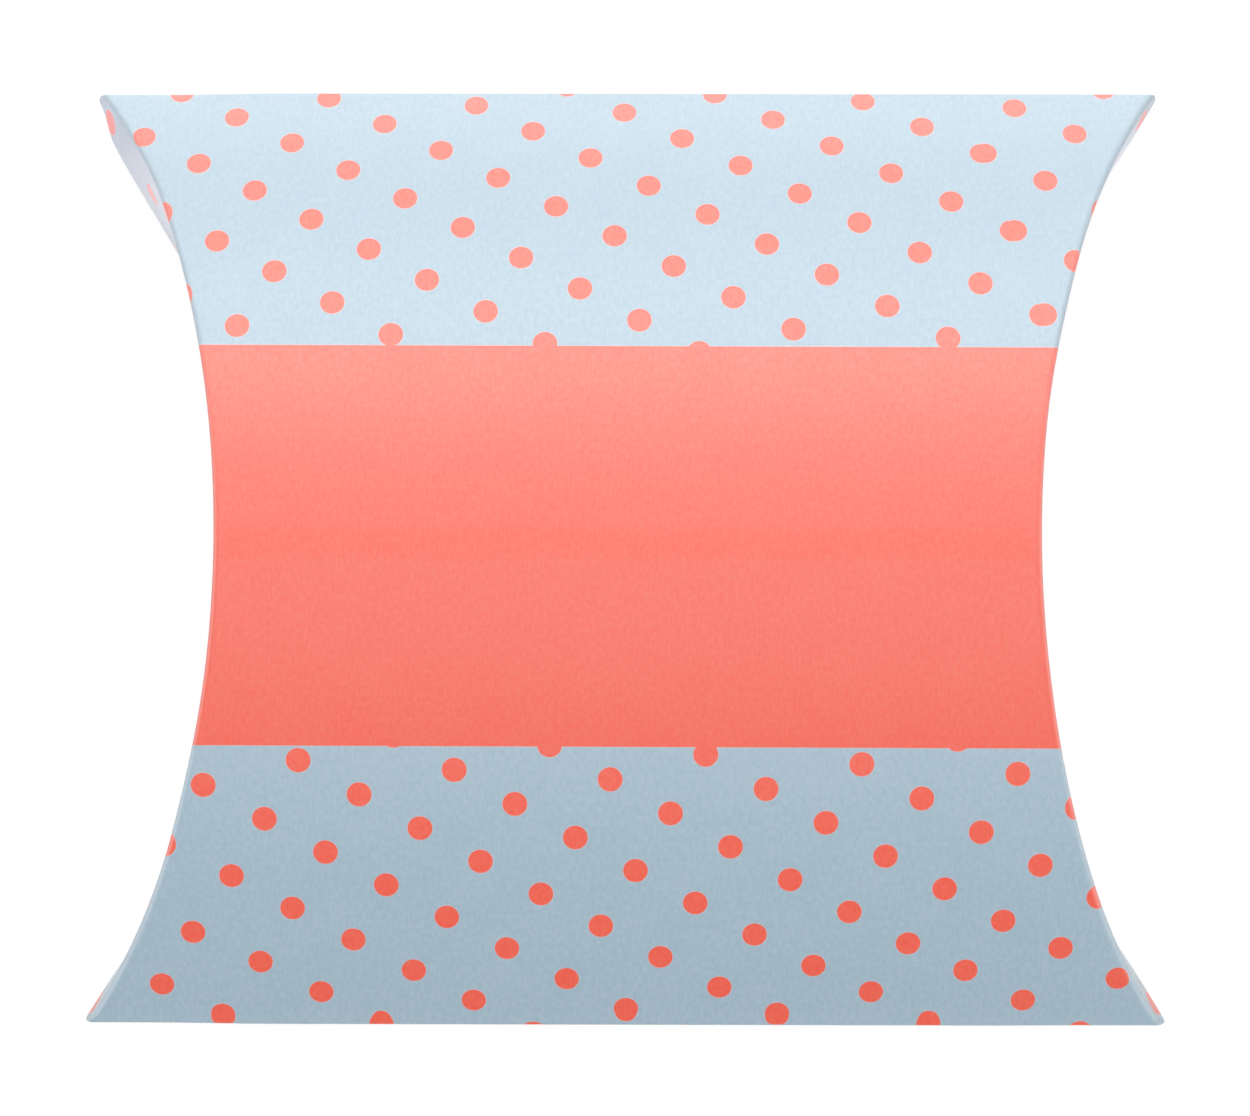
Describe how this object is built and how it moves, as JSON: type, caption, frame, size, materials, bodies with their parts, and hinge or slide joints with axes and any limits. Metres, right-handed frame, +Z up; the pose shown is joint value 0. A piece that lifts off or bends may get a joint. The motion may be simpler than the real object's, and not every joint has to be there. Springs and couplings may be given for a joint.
{
  "type": "pillow box",
  "caption": "Card pillow box with domed panels, curved end creases, tuck-in end flaps that swing open and a glued side seam.",
  "frame": {"origin": "middle of the back panel's crown, where the closed box touches the surface it lies on", "axes": "+X from the left end to the right end, +Y across the panels from the side fold to the glued seam, +Z up, out of the front panel"},
  "size_m": [0.1902, 0.1674, 0.0434],
  "materials": {
    "printed_card": "matte",
    "scored_card": "matte",
    "bare_card": "matte",
    "dried_glue": "satin"
  },
  "bodies": {
    "box": {"front_panel": "printed_card", "back_panel": "printed_card", "side_fold": "scored_card", "tab_fold": "scored_card", "glue_tab": "bare_card", "seam_glue": "dried_glue", "left_front_crease": "scored_card", "left_back_crease": "scored_card", "right_front_crease": "scored_card", "right_back_crease": "scored_card"},
    "left_outer_flap": {"left_outer_flap": "printed_card"},
    "left_inner_flap": {"left_inner_flap": "printed_card"},
    "right_outer_flap": {"right_outer_flap": "printed_card"},
    "right_inner_flap": {"right_inner_flap": "printed_card"}
  },
  "joints": [
    {"name": "left_outer_hinge", "type": "hinge", "parent": "box", "child": "left_outer_flap", "pos_m": [-0.0711, 0, 0.0434], "axis": [0, 1, 0], "range_deg": [0, 90]},
    {"name": "left_inner_hinge", "type": "hinge", "parent": "box", "child": "left_inner_flap", "pos_m": [-0.0704, 0, 0], "axis": [0, -1, 0], "range_deg": [0, 90]},
    {"name": "right_outer_hinge", "type": "hinge", "parent": "box", "child": "right_outer_flap", "pos_m": [0.0711, 0, 0.0434], "axis": [0, -1, 0], "range_deg": [0, 90]},
    {"name": "right_inner_hinge", "type": "hinge", "parent": "box", "child": "right_inner_flap", "pos_m": [0.0704, 0, 0], "axis": [0, 1, 0], "range_deg": [0, 90]}
  ],
  "couplings": [
    {"joint": "left_inner_hinge", "follows": "left_outer_hinge", "ratio": 1},
    {"joint": "right_inner_hinge", "follows": "right_outer_hinge", "ratio": 1}
  ]
}
